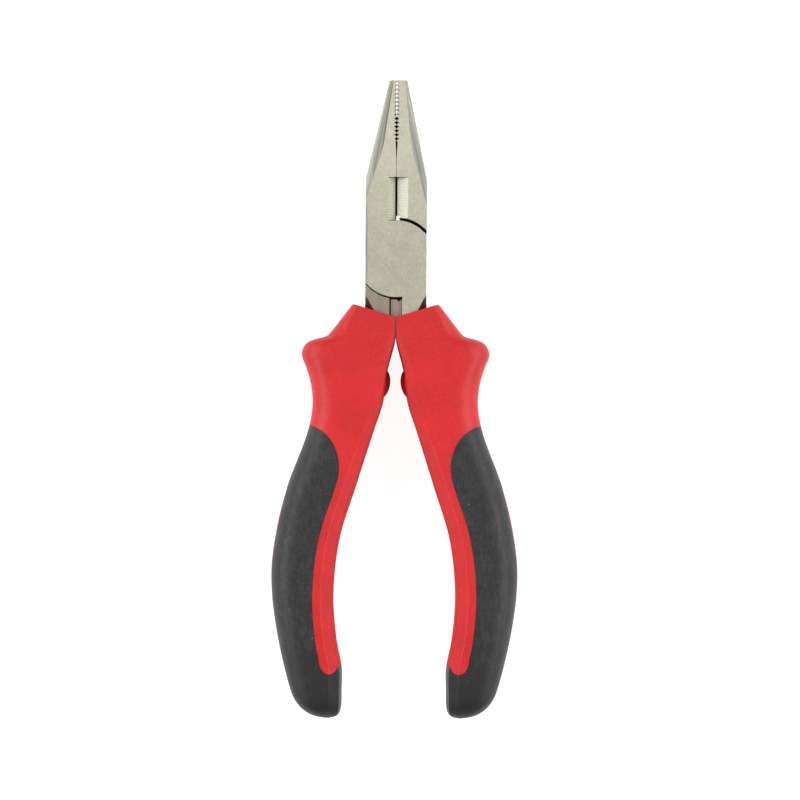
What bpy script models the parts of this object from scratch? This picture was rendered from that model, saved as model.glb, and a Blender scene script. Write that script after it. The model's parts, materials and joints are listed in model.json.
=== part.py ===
"""Needle nose pliers: two forged halves on a riveted lap joint, each with a two-part moulded grip.

Sizes are in metres. The pliers lie flat with the jaws closed, +Y towards the tips, +X to the right
and +Z out of the front face. Every half is modelled about the rivet's axis with its jaw on the left
and its grip on the right. The back half is such a half turned over about the Y axis.
A drop is a distance below the rivet's axis, and a reach is a distance from the pliers' centre line.
"""

import math

import bmesh
import bpy
import numpy as np
from mathutils import Matrix, Vector

# Head
HEAD_WIDTH = 0.0153
HEAD_THICKNESS = 0.0097
NOSE_LENGTH = 0.045
NOSE_TAPER_LENGTH = 0.0244
FACE_TAPER_LENGTH = 0.0180
FRONT_TIP_WIDTH = 0.0019
BACK_TIP_WIDTH = 0.00265
TIP_THICKNESS = 0.0033
NOSE_FLATNESS = 0.95

# Gripping faces
JAW_GAP = 0.0001
TOOTH_PITCH = 0.00103
TOOTH_DEPTH = 0.00046
TOOTH_LAND = 0.00008
PLAIN_LENGTH = 0.0091
RELIEF_DEPTH = 0.0002

# Side cutter
CUTTER_FOOT = 0.0004
CUTTER_LENGTH = 0.0103
CUTTER_GAP = 0.0005
FRONT_BEVEL_WIDTH = 0.0017
BACK_BEVEL_WIDTH = 0.0027
CUTTER_LAND = 0.0064
CUTTER_NOTCH = 0.0011

# Lap joint
DISC_RADIUS = 0.00965
JAW_SHOULDER_GAP = 0.0007
SHANK_SHOULDER_GAP = 0.00025
LAP_GAP = 0.0001
RIVET_RADIUS = 0.003
RIVET_HEAD_RADIUS = 0.0042
RIVET_HEAD_DEPTH = 0.0012
RIVET_CLEARANCE = 0.00005

# Shank and tang
SHANK_INSET = 0.0016
SHANK_TAPER_DROP = 0.009
SHANK_DROP = 0.017
SHANK_END_RADIUS = 0.0054
WEB_DROP = 0.0137
WEB_GAP = 0.0003
WEB_INSET = 0.0002
TANG_THICKNESS = 0.006
TANG_WIDTH = 0.006
TANG_TIP_WIDTH = 0.004
TANG_OFFSET = 0.0074
TANG_SETTLE_DROP = 0.045
TANG_DROP = 0.094
TANG_ROUND = 0.0008
TANG_CLEARANCE = 0.0002

# Grip outline
COLLAR_DROP = 0.0145
COLLAR_RISE = 0.0032
COLLAR_LIP = 0.0033
COLLAR_WALL = 0.00115
COLLAR_SEAM = 0.0003
GUARD_TOP_DROP = 0.0188
GUARD_DROP = 0.0241
GUARD_REACH = 0.0236
GUARD_HEIGHT = 0.0063
WAIST_DROP = 0.0361
WAIST_REACH = 0.0208
WAIST_INNER_REACH = 0.0031
BELLY_DROP = 0.079
BELLY_REACH = 0.031
BELLY_INNER_REACH = 0.0152
TAIL_REACH = 0.0261
TAIL_INNER_REACH = 0.0131
GRIP_DROP = 0.115
GRIP_THICKNESS = 0.0158
WAIST_THICKNESS = 0.0146
TAIL_THICKNESS = 0.0122
COLLAR_ROUND = 0.0016
SIDE_ROUND = 0.0062
INNER_FACET = 0.0032
INNER_FACET_DROP = 0.0007

# Grip parts
STRIP_WIDTH = 0.0055
SLEEVE_TOP_DROP = 0.0417
SLEEVE_TOP_RISE = 0.0105
SLEEVE_TOP_REACH = 0.0085
SLEEVE_WALL = 0.0018
SLEEVE_END_WALL = 0.0035
SLEEVE_GAP = 0.00015
STRIP_END = 0.0113
STRIP_END_ROUND = 0.0039
WINDOW_DROP = 0.071
WINDOW_LENGTH = 0.028
WINDOW_HEIGHT = 0.0056
NUB_DROP = 0.0312
NUB_LENGTH = 0.0078
NUB_HEIGHT = 0.0011
NUB_ROOT = 0.0012

# Rings of the grip's skin between its main drops, and steps of a full turn
COLLAR_RINGS = 5
GUARD_RINGS = 8
BODY_RINGS = 16
TAIL_RINGS = 8
TURN_STEPS = 64
FLANK_SHARES = (0.0, 0.45, 0.8, 1.0)
SIDE_STEPS = 6

STEEL = ("nickel_plated_steel", (0.50, 0.48, 0.40), 0.32, 1.0)
RIVET_STEEL = ("rivet_steel", (0.46, 0.45, 0.39), 0.36, 1.0)
RED_PLASTIC = ("red_plastic", (0.66, 0.030, 0.033), 0.45, 0.0)
BLACK_RUBBER = ("black_rubber", (0.040, 0.041, 0.042), 0.62, 0.0)

half_width = HEAD_WIDTH / 2
half_thickness = HEAD_THICKNESS / 2
cutter_bottom = DISC_RADIUS + CUTTER_FOOT
cutter_top = cutter_bottom + CUTTER_LENGTH
tooth_count = int((NOSE_LENGTH - cutter_top - PLAIN_LENGTH) / TOOTH_PITCH)


def clear_scene():
    for obj in list(bpy.data.objects):
        bpy.data.objects.remove(obj, do_unlink=True)


def new_collection(name):
    collection = bpy.data.collections.new(name)
    bpy.context.scene.collection.children.link(collection)
    return collection


def make_material(name, colour, roughness, metallic):
    material = bpy.data.materials.new(name)
    material.use_nodes = True
    shader = material.node_tree.nodes["Principled BSDF"]
    shader.inputs["Base Color"].default_value = (*colour, 1.0)
    shader.inputs["Roughness"].default_value = roughness
    shader.inputs["Metallic"].default_value = metallic
    return material


def add_object(name, mesh):
    """A helper solid. It stays a hidden cutter unless finish() makes it a part."""
    obj = bpy.data.objects.new(name, mesh)
    cutters.objects.link(obj)
    obj.hide_render = True
    obj.display_type = "WIRE"
    return obj


def evaluated_mesh(obj):
    """The object's shape with its modifiers, or a curve's tube or plate, as one welded mesh."""
    bpy.context.view_layer.update()
    graph = bpy.context.evaluated_depsgraph_get()
    mesh = bpy.data.meshes.new_from_object(obj.evaluated_get(graph))
    shape = bmesh.new()
    shape.from_mesh(mesh)
    bmesh.ops.remove_doubles(shape, verts=shape.verts, dist=1e-7)
    bmesh.ops.recalc_face_normals(shape, faces=shape.faces)
    shape.to_mesh(mesh)
    shape.free()
    return mesh


def flat_solid(name, outline, low, high):
    """A closed outline in plan, filled and extruded from low to high along Z."""
    curve = bpy.data.curves.new(name, "CURVE")
    curve.dimensions = "2D"
    curve.fill_mode = "BOTH"
    curve.extrude = (high - low) / 2
    spline = curve.splines.new("POLY")
    spline.points.add(len(outline) - 1)
    for point, (x, y) in zip(spline.points, outline):
        point.co = (x, y, 0.0, 1.0)
    spline.use_cyclic_u = True
    guide = add_object(name + "_outline", curve)
    mesh = evaluated_mesh(guide)
    bpy.data.objects.remove(guide)
    mesh.transform(Matrix.Translation((0.0, 0.0, (low + high) / 2)))
    return add_object(name, mesh)


def side_solid(name, outline, low, high):
    """An outline of (along Y, along Z) points, extruded from low to high along X."""
    solid = flat_solid(name, outline, low, high)
    solid.data.transform(Matrix(((0, 0, 1, 0), (1, 0, 0, 0), (0, 1, 0, 0), (0, 0, 0, 1))))
    return solid


def section_solid(name, outline, low, high):
    """An outline of (along Z, along X) points, extruded from low to high along Y."""
    solid = flat_solid(name, outline, low, high)
    solid.data.transform(Matrix(((0, 1, 0, 0), (0, 0, 1, 0), (1, 0, 0, 0), (0, 0, 0, 1))))
    return solid


def turned_solid(name, profile, along_y=False):
    """A profile of (radius, height) points, listed down its outer side, turned about Z or about Y."""
    mesh = bpy.data.meshes.new(name)
    closed = profile[0][0] > 0
    edges = [(i, i + 1) for i in range(len(profile) - 1)]
    if closed:
        edges.append((len(profile) - 1, 0))
    mesh.from_pydata([(radius, 0.0, height) for radius, height in profile], edges, [])
    guide = add_object(name + "_profile", mesh)
    screw = guide.modifiers.new("Turn", "SCREW")
    screw.steps = TURN_STEPS
    screw.render_steps = TURN_STEPS
    screw.use_merge_vertices = True
    screw.merge_threshold = 1e-6
    turned = evaluated_mesh(guide)
    bpy.data.objects.remove(guide)
    if along_y:
        turned.transform(Matrix.Rotation(-math.pi / 2, 4, "X"))
    return add_object(name, turned)


def loft(name, rings):
    """A closed skin through rings of as many points each, with flat ends."""
    shape = bmesh.new()
    rows = [[shape.verts.new(point) for point in ring] for ring in rings]
    for upper, lower in zip(rows, rows[1:]):
        for i in range(len(upper)):
            j = (i + 1) % len(upper)
            shape.faces.new((upper[i], upper[j], lower[j], lower[i]))
    shape.faces.new(rows[0])
    shape.faces.new(rows[-1])
    bmesh.ops.recalc_face_normals(shape, faces=shape.faces)
    mesh = bpy.data.meshes.new(name)
    shape.to_mesh(mesh)
    shape.free()
    return add_object(name, mesh)


def carve(body, steps):
    """Cuts, joins or intersects the body with each (operation, solid) in turn."""
    for operation, solid in steps:
        boolean = body.modifiers.new(solid.name, "BOOLEAN")
        boolean.operation = operation
        boolean.object = solid
    mesh = evaluated_mesh(body)
    body.modifiers.clear()
    body.data = mesh
    return body


def finish(body, name, material, pivot):
    """Makes a helper solid a part of the pliers, carried by an empty on the rivet's axis."""
    cutters.objects.unlink(body)
    parts.objects.link(body)
    body.hide_render = False
    body.display_type = "TEXTURED"
    body.name = name
    body.data.name = name
    body.data.materials.clear()
    body.data.materials.append(material)
    body.data.shade_smooth()
    body.data.set_sharp_from_angle(angle=math.radians(32))
    body.parent = pivot
    return body


def arc(centre, radii, start, end, steps):
    """Points on an ellipse from a start to an end angle in degrees."""
    angles = np.radians(np.linspace(start, end, steps + 1))
    return [(centre[0] + radii[0] * math.cos(a), centre[1] + radii[1] * math.sin(a)) for a in angles]


def circle_arc(radius, start, end):
    """Points on a circle about the rivet's axis, as finely spaced as a full turn's steps."""
    steps = max(2, round(abs(end - start) * TURN_STEPS / 360))
    return arc((0, 0), (radius, radius), start, end, steps)


def smooth_step(value, low, high):
    share = min(1.0, max(0.0, (value - low) / (high - low)))
    return share * share * (3 - 2 * share)


def smooth_edge(knots, steps=12):
    """A smooth curve through (drop, value) knots, sampled as two rising arrays of drops and values."""
    points = np.array(knots)
    points = np.vstack([2 * points[0] - points[1], points, 2 * points[-1] - points[-2]])
    drops, values = [], []
    for before, start, end, after in zip(points, points[1:], points[2:], points[3:]):
        spans = [np.linalg.norm(b - a) ** 0.5 for a, b in ((before, start), (start, end), (end, after))]
        leave = (start - before) / spans[0] - (end - before) / (spans[0] + spans[1]) + (end - start) / spans[1]
        reach = (end - start) / spans[1] - (after - start) / (spans[1] + spans[2]) + (after - end) / spans[2]
        leave, reach = leave * spans[1], reach * spans[1]
        for t in np.linspace(0, 1, steps, endpoint=False):
            point = (
                (2 * t**3 - 3 * t**2 + 1) * start
                + (t**3 - 2 * t**2 + t) * leave
                + (3 * t**2 - 2 * t**3) * end
                + (t**3 - t**2) * reach
            )
            drops.append(point[0])
            values.append(point[1])
    drops.append(points[-2][0])
    values.append(points[-2][1])
    return np.maximum.accumulate(drops), np.array(values)


# The grip's inner and outer edges and its half thickness, as reaches at drops
seam = COLLAR_SEAM / 2
tail_drop = GRIP_DROP - 0.0072
inner_edge = smooth_edge([
    (COLLAR_DROP, seam),
    (COLLAR_DROP + 0.0052, seam),
    (GUARD_DROP + 0.0040, 0.0020),
    (WAIST_DROP, WAIST_INNER_REACH),
    (WAIST_DROP + 0.0065, WAIST_INNER_REACH + 0.0021),
    ((WAIST_DROP + BELLY_DROP) / 2, (WAIST_INNER_REACH + BELLY_INNER_REACH) / 2 + 0.0008),
    (BELLY_DROP - 0.0088, BELLY_INNER_REACH - 0.0014),
    (BELLY_DROP + 0.0050, BELLY_INNER_REACH + 0.0001),
    (GRIP_DROP - 0.0197, TAIL_INNER_REACH + 0.0014),
    (GRIP_DROP - 0.0122, TAIL_INNER_REACH),
    (tail_drop, TAIL_INNER_REACH),
    (GRIP_DROP - 0.0021, TAIL_INNER_REACH + 0.0002),
    (GRIP_DROP - 0.0006, TAIL_INNER_REACH + 0.0011),
    (GRIP_DROP, TAIL_INNER_REACH + 0.0030),
])
outer_edge = smooth_edge([
    (COLLAR_DROP - COLLAR_RISE, half_width + COLLAR_LIP),
    (GUARD_TOP_DROP - 0.0007, GUARD_REACH - GUARD_HEIGHT - 0.0011),
    (GUARD_TOP_DROP + 0.0004, GUARD_REACH - GUARD_HEIGHT),
    (GUARD_TOP_DROP + 0.0013, GUARD_REACH - GUARD_HEIGHT / 2),
    (GUARD_TOP_DROP + 0.0022, GUARD_REACH - 0.0013),
    (GUARD_TOP_DROP + 0.0036, GUARD_REACH - 0.0003),
    (GUARD_DROP, GUARD_REACH),
    (GUARD_DROP + 0.0035, GUARD_REACH - 0.0013),
    (WAIST_DROP - 0.0050, WAIST_REACH + 0.0005),
    (WAIST_DROP, WAIST_REACH),
    (WAIST_DROP + 0.0065, WAIST_REACH + 0.0010),
    ((WAIST_DROP + BELLY_DROP) / 2, (WAIST_REACH + BELLY_REACH) / 2 + 0.0013),
    (BELLY_DROP - 0.0113, BELLY_REACH - 0.0013),
    (BELLY_DROP, BELLY_REACH),
    (GRIP_DROP - 0.0222, TAIL_REACH + 0.0035),
    (tail_drop, TAIL_REACH),
    (GRIP_DROP - 0.0045, TAIL_REACH - 0.0011),
    (GRIP_DROP - 0.0021, TAIL_REACH - 0.0030),
    (GRIP_DROP - 0.0006, TAIL_REACH - 0.0056),
    (GRIP_DROP, TAIL_REACH - 0.0088),
])
grip_half_thickness = smooth_edge([
    (COLLAR_DROP, half_thickness + COLLAR_WALL),
    (GUARD_TOP_DROP + 0.0010, half_thickness + COLLAR_WALL + 0.0002),
    (GUARD_DROP + 0.0015, GRIP_THICKNESS / 2),
    (GUARD_DROP + 0.0060, GRIP_THICKNESS / 2),
    (WAIST_DROP + 0.0080, WAIST_THICKNESS / 2),
    (BELLY_DROP - 0.0100, GRIP_THICKNESS / 2),
    (BELLY_DROP + 0.0050, GRIP_THICKNESS / 2),
    (tail_drop, TAIL_THICKNESS / 2),
    (GRIP_DROP - 0.0030, TAIL_THICKNESS / 2 - 0.0008),
    (GRIP_DROP - 0.0010, TAIL_THICKNESS / 2 - 0.0022),
    (GRIP_DROP, TAIL_THICKNESS / 2 - 0.0038),
])


def value_at(edge, drop):
    return float(np.interp(drop, edge[0], edge[1]))


def thickness_at(drop):
    """Half the grip's thickness, level where the pliers lie on it."""
    return min(GRIP_THICKNESS / 2, value_at(grip_half_thickness, drop))


def ring_drops():
    """Drops of the skin's rings at the inner edge, closer together at the guard and the rounded tail."""
    guard_start = GUARD_TOP_DROP + COLLAR_RISE - 0.0010
    guard_end = GUARD_DROP + COLLAR_RISE + 0.0010
    tail_turn = np.sin(np.linspace(0, math.pi / 2, TAIL_RINGS + 1))
    return np.concatenate([
        np.linspace(COLLAR_DROP, guard_start, COLLAR_RINGS, endpoint=False),
        np.linspace(guard_start, guard_end, GUARD_RINGS, endpoint=False),
        np.linspace(guard_end, tail_drop, BODY_RINGS, endpoint=False),
        tail_drop + (GRIP_DROP - tail_drop) * tail_turn,
    ])


def grip_ring(drop, inset):
    """One ring of the grip's skin, moved in by an inset: a flat face, a facet inside and a round outside."""
    outer_drop = drop - COLLAR_RISE * (1 - smooth_step(drop, GUARD_DROP + COLLAR_RISE, TANG_SETTLE_DROP))
    inner = value_at(inner_edge, drop)
    outer = value_at(outer_edge, outer_drop)
    level = thickness_at(drop)
    width = outer - inner
    grown = smooth_step(drop, COLLAR_DROP, GUARD_DROP + COLLAR_RISE)
    side = min(COLLAR_ROUND + (SIDE_ROUND - COLLAR_ROUND) * grown, 0.45 * width)
    facet = min(INNER_FACET * (0.35 + 0.65 * grown), 0.30 * width)
    step = INNER_FACET_DROP * (0.35 + 0.65 * grown)
    upper = []
    for share in FLANK_SHARES:
        upper.append((inner + 0.25 * facet * share**4, (level - step) * share))
    upper.append((inner + facet, level))
    for angle in np.linspace(0, math.pi / 2, SIDE_STEPS + 1):
        upper.append((outer - side + side * math.sin(angle), level * math.cos(angle) ** 0.85))
    upper[-1] = (outer, 0.0)
    profile = upper + [(x, -z) for x, z in reversed(upper[1:-1])]
    middle = (inner + outer) / 2
    ring = []
    for x, z in profile:
        y = -drop + (drop - outer_drop) * (x - inner) / width
        narrowed = middle + (x - middle) * (1 - 2 * inset / width)
        ring.append(Vector((narrowed, y, z * (1 - inset / level))))
    return ring


def grip_skin(name, inset=0.0, end=GRIP_DROP):
    """The whole grip's outside, or a skin inside it by an inset that stops at an end drop."""
    drops = [drop for drop in ring_drops() if drop < end - 1e-6]
    drops.append(end)
    return loft(name, [grip_ring(drop, inset) for drop in drops])


def tang_edges(drop):
    """The tang's inner and outer reach: the shank's at the collar, then along the grip."""
    settle = smooth_step(drop, SHANK_TAPER_DROP, TANG_SETTLE_DROP)
    shank_offset = (half_width + SHANK_INSET) / 2 - seam
    centre = value_at(inner_edge, drop) + shank_offset + (TANG_OFFSET - shank_offset) * settle
    shank_width = half_width - SHANK_INSET
    width = shank_width + (TANG_WIDTH - shank_width) * settle
    width += (TANG_TIP_WIDTH - TANG_WIDTH) * smooth_step(drop, TANG_SETTLE_DROP, TANG_DROP)
    return centre - width / 2, centre + width / 2


def tang_outline(grow):
    drops = np.linspace(SHANK_TAPER_DROP + 0.002, TANG_DROP - TANG_TIP_WIDTH / 2, 15)
    inner = [(tang_edges(drop)[0] - grow, -drop) for drop in drops]
    outer = [(tang_edges(drop)[1] + grow, -drop) for drop in drops]
    low, high = inner[-1], outer[-1]
    radius = (high[0] - low[0]) / 2
    tip = arc(((low[0] + high[0]) / 2, low[1]), (radius, TANG_TIP_WIDTH / 2 + grow), 180, 360, 8)
    return inner + tip[1:-1] + outer[::-1]


def make_tang(name):
    tang = flat_solid(name, tang_outline(0.0), -TANG_THICKNESS / 2, TANG_THICKNESS / 2)
    rounded = tang.modifiers.new("Round", "BEVEL")
    rounded.width = TANG_ROUND
    rounded.limit_method = "ANGLE"
    rounded.angle_limit = math.radians(60)
    tang.data = evaluated_mesh(tang)
    tang.modifiers.clear()
    return tang


def half_outline():
    """A half in plan: toothed jaw on the left, disc in the middle and shank on the right."""
    closed = -JAW_GAP / 2
    outline = [(closed, NOSE_LENGTH)]
    for tooth in range(tooth_count):
        crest = NOSE_LENGTH - tooth * TOOTH_PITCH
        outline.append((closed, crest - TOOTH_LAND))
        outline.append((closed - TOOTH_DEPTH, crest - TOOTH_LAND / 2 - TOOTH_PITCH / 2))
        outline.append((closed, crest - TOOTH_PITCH))
    teeth_end = NOSE_LENGTH - tooth_count * TOOTH_PITCH
    edge = -CUTTER_GAP / 2
    across = math.degrees(math.acos(half_width / DISC_RADIUS))
    inset = math.degrees(math.asin(SHANK_INSET / DISC_RADIUS))
    outline += [
        (closed, teeth_end - TOOTH_LAND),
        (closed - RELIEF_DEPTH, teeth_end - TOOTH_LAND - RELIEF_DEPTH),
        (closed, (teeth_end + cutter_top) / 2),
        (closed, cutter_top),
        (edge, cutter_top),
    ]
    outline += circle_arc(DISC_RADIUS, 90 - math.degrees(edge / DISC_RADIUS), across)
    outline += [(half_width, -SHANK_DROP), (SHANK_INSET, -SHANK_DROP)]
    outline += circle_arc(DISC_RADIUS, 270 + inset, 180 + across)
    outline.append((-half_width, NOSE_LENGTH))
    return outline


def lap_pocket():
    """The room for the other half's disc, behind this half's disc, with its two shoulders."""
    outline = circle_arc(DISC_RADIUS + JAW_SHOULDER_GAP, 0, 180)
    outline += circle_arc(DISC_RADIUS + SHANK_SHOULDER_GAP, 180, 360)
    return flat_solid("lap_pocket", outline, -HEAD_THICKNESS, LAP_GAP / 2)


def nose_cone(tip_width):
    """What is ground off round the nose, down to a flattened cone that runs into the head's sides."""
    slope = (half_width - tip_width) / NOSE_TAPER_LENGTH
    beyond = 0.001
    corner = math.hypot(half_width, half_thickness / NOSE_FLATNESS) + beyond
    low = NOSE_LENGTH - (corner - tip_width) / slope
    profile = [
        (tip_width - slope * beyond, NOSE_LENGTH + beyond),
        (2 * corner, NOSE_LENGTH + beyond),
        (2 * corner, low),
        (corner, low),
    ]
    cone = turned_solid("nose_cone", profile, along_y=True)
    cone.data.transform(Matrix.Diagonal((1, 1, NOSE_FLATNESS, 1)))
    return cone


def shank_cone():
    """What is forged away round the shank, from the head's corners towards the tang."""
    corner = math.hypot(half_width, half_thickness)
    slope = (corner - SHANK_END_RADIUS) / (SHANK_DROP - SHANK_TAPER_DROP)
    beyond = 0.001
    profile = [
        (corner + slope * beyond, beyond - SHANK_TAPER_DROP),
        (2 * corner, beyond - SHANK_TAPER_DROP),
        (2 * corner, -SHANK_DROP - beyond),
        (SHANK_END_RADIUS - slope * beyond, -SHANK_DROP - beyond),
    ]
    return turned_solid("shank_cone", profile, along_y=True)


def face_taper(side):
    """The wedge off the front or the back face that thins the nose towards the tip."""
    slope = (half_thickness - TIP_THICKNESS / 2) / FACE_TAPER_LENGTH
    beyond = 0.002
    outline = [
        (NOSE_LENGTH - FACE_TAPER_LENGTH - beyond, side * (half_thickness + slope * beyond)),
        (NOSE_LENGTH + beyond, side * (TIP_THICKNESS / 2 - slope * beyond)),
        (NOSE_LENGTH + beyond, side * (half_thickness + slope * beyond)),
    ]
    return side_solid("face_taper", outline, -HEAD_WIDTH, HEAD_WIDTH)


def cutter_bevel(side, width):
    """The ground bevel from one face down to the cutting edge's narrow land."""
    edge = -CUTTER_GAP / 2
    depth = half_thickness - CUTTER_LAND / 2
    beyond = 0.5
    outline = [
        (side * (CUTTER_LAND / 2 - beyond * depth), edge + beyond * width),
        (side * (half_thickness + beyond * depth), edge - width * (1 + beyond)),
        (side * (half_thickness + beyond * depth), edge + beyond * width),
    ]
    return section_solid("cutter_bevel", outline, cutter_bottom, cutter_top)


def rivet_profile(clearance, beyond):
    """Down the rivet's outer side, from its front head to its back head."""
    head = RIVET_HEAD_RADIUS + clearance
    shank = RIVET_RADIUS + clearance
    top = half_thickness
    below = half_thickness - RIVET_HEAD_DEPTH
    side = [(head, top), (shank, below), (shank, -below), (head, -top)]
    if beyond:
        side = [(head, top + beyond)] + side + [(head, -top - beyond)]
    return [(0.0, side[0][1])] + side + [(0.0, side[-1][1])]


def stop_web():
    """The web in the crotch of the back half, which the front half's shank closes against."""
    outline = [
        (-SHANK_INSET + WEB_GAP, -DISC_RADIUS * 0.9),
        (SHANK_INSET * 1.5, -DISC_RADIUS * 0.9),
        (SHANK_INSET * 1.5, -WEB_DROP),
        (-SHANK_INSET + WEB_GAP, -WEB_DROP),
    ]
    return flat_solid("stop_web", outline, LAP_GAP / 2 + WEB_INSET, half_thickness - WEB_INSET)


def cutter_notch():
    """The small notch at the foot of the back half's cutting edge, open to both faces."""
    top = cutter_bottom + CUTTER_FOOT
    outline = [
        (CUTTER_NOTCH / 4, top),
        (-CUTTER_NOTCH, top),
        (-CUTTER_NOTCH / 2, DISC_RADIUS - CUTTER_FOOT / 2),
    ]
    return flat_solid("cutter_notch", outline, -HEAD_THICKNESS, HEAD_THICKNESS)


def make_half(name, tip_width, bevel_width, extra):
    """A forged half. Extra steps are what only one of the halves has."""
    body = flat_solid(name, half_outline(), -half_thickness, half_thickness)
    hole = turned_solid("rivet_hole", rivet_profile(RIVET_CLEARANCE, HEAD_THICKNESS))
    steps = [
        ("DIFFERENCE", lap_pocket()),
        ("DIFFERENCE", nose_cone(tip_width)),
        ("DIFFERENCE", shank_cone()),
        ("DIFFERENCE", face_taper(1)),
        ("DIFFERENCE", face_taper(-1)),
        ("DIFFERENCE", cutter_bevel(1, bevel_width)),
        ("DIFFERENCE", cutter_bevel(-1, bevel_width)),
        ("DIFFERENCE", hole),
        ("UNION", make_tang("tang")),
    ]
    return carve(body, steps + extra)


def sleeve_outline(grow):
    """In plan, the side of the grip that the soft sleeve covers: its outer side and its whole tail."""
    strip = STRIP_WIDTH - grow
    reach, rise = SLEEVE_TOP_REACH + grow, SLEEVE_TOP_RISE + grow
    top = SLEEVE_TOP_DROP + SLEEVE_TOP_RISE
    low = GRIP_DROP - STRIP_END - STRIP_END_ROUND
    # the top's arc turns on until it runs the way the strip's edge does
    lean = (value_at(inner_edge, 1.10 * top) - value_at(inner_edge, 1.05 * top)) / (0.05 * top)
    turn = math.atan(lean * rise / reach)
    join = top + rise * math.sin(turn)
    centre = value_at(inner_edge, join) + strip + reach * math.cos(turn)
    outline = arc((centre, -top), (reach, rise), 90, 180 + math.degrees(turn), 12)
    for drop in np.linspace(join, low, 13)[1:]:
        outline.append((value_at(inner_edge, drop) + strip, -drop))
    end = value_at(inner_edge, low) + strip
    round_centre = (end - STRIP_WIDTH / 2, -low)
    outline += arc(round_centre, (STRIP_WIDTH / 2 - grow, STRIP_END_ROUND - grow), 360, 210, 10)[1:]
    across = 2 * BELLY_REACH
    inside = outline[-1]
    return outline + [(0.0, inside[1]), (0.0, -2 * GRIP_DROP), (across, -2 * GRIP_DROP), (across, outline[0][1])]


def window_solid(name, shrink):
    """The long window in the sleeve's outer side, with round ends."""
    height = WINDOW_HEIGHT / 2 - shrink
    straight = WINDOW_LENGTH / 2 - WINDOW_HEIGHT / 2
    outline = arc((-WINDOW_DROP + straight, 0), (height, height), -90, 90, 8)
    outline += arc((-WINDOW_DROP - straight, 0), (height, height), 90, 270, 8)
    low = min(value_at(outer_edge, WINDOW_DROP + side * WINDOW_LENGTH / 2) for side in (-1, 0, 1))
    return side_solid(name, outline, low - 2.2 * SLEEVE_WALL, 2 * BELLY_REACH)


def tang_socket():
    """The room in the core for the shank and the tang."""
    room = TANG_CLEARANCE
    shank = [
        (SHANK_INSET - room, 0.0),
        (half_width + room, 0.0),
        (half_width + room, -SHANK_DROP - room),
        (SHANK_INSET - room, -SHANK_DROP - room),
    ]
    deep = half_thickness + room
    socket = flat_solid("tang_socket", shank, -deep, deep)
    long = TANG_THICKNESS / 2 + room
    tang = flat_solid("tang_room", tang_outline(room), -long, long)
    return carve(socket, [("UNION", tang)])


def stop_nub():
    """The small dome on the grip's inner side, leaning with that side."""
    half = NUB_LENGTH / 2
    centre = value_at(inner_edge, NUB_DROP) + NUB_ROOT
    lean = math.atan2(value_at(inner_edge, NUB_DROP + half) - value_at(inner_edge, NUB_DROP - half), NUB_LENGTH)
    shape = bmesh.new()
    bmesh.ops.create_uvsphere(shape, u_segments=16, v_segments=10, radius=half)
    mesh = bpy.data.meshes.new("stop_nub")
    shape.to_mesh(mesh)
    shape.free()
    squeeze = Matrix.Diagonal(((NUB_HEIGHT + NUB_ROOT) / half, 1, 1, 1))
    place = Matrix.Translation((centre, -NUB_DROP, 0))
    mesh.transform(place @ Matrix.Rotation(lean, 4, "Z") @ squeeze)
    return add_object("stop_nub", mesh)


def make_core(name):
    """The hard inner part of a grip: collar, guard, inner strip and the core under the sleeve."""
    body = grip_skin(name)
    sleeve_room = flat_solid("sleeve_room", sleeve_outline(SLEEVE_GAP), -GRIP_THICKNESS, GRIP_THICKNESS)
    core_end = GRIP_DROP - SLEEVE_END_WALL - SLEEVE_GAP
    carve(sleeve_room, [("DIFFERENCE", grip_skin("core_skin", SLEEVE_WALL + SLEEVE_GAP, core_end))])
    inlay = window_solid("window_inlay", SLEEVE_GAP)
    carve(inlay, [("INTERSECT", grip_skin("inlay_skin", SLEEVE_GAP / 3))])
    return carve(body, [
        ("DIFFERENCE", sleeve_room),
        ("UNION", inlay),
        ("UNION", stop_nub()),
        ("DIFFERENCE", tang_socket()),
    ])


def make_sleeve(name):
    """The soft part of a grip, moulded over the core's outer side and tail, with a window."""
    body = grip_skin(name)
    cover = flat_solid("sleeve_cover", sleeve_outline(0.0), -GRIP_THICKNESS, GRIP_THICKNESS)
    return carve(body, [
        ("INTERSECT", cover),
        ("DIFFERENCE", grip_skin("core_room", SLEEVE_WALL, GRIP_DROP - SLEEVE_END_WALL)),
        ("DIFFERENCE", window_solid("window_cut", 0.0)),
    ])


def add_pivot(name, turned_over):
    """An empty on the rivet's axis, which carries one half."""
    pivot = bpy.data.objects.new(name, None)
    parts.objects.link(pivot)
    pivot.location = (0.0, (GRIP_DROP - NOSE_LENGTH) / 2, GRIP_THICKNESS / 2)
    pivot.rotation_euler = (0.0, math.pi if turned_over else 0.0, 0.0)
    return pivot


def copy_part(body):
    copy = bpy.data.objects.new(body.name + "_copy", body.data)
    cutters.objects.link(copy)
    return copy


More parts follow.
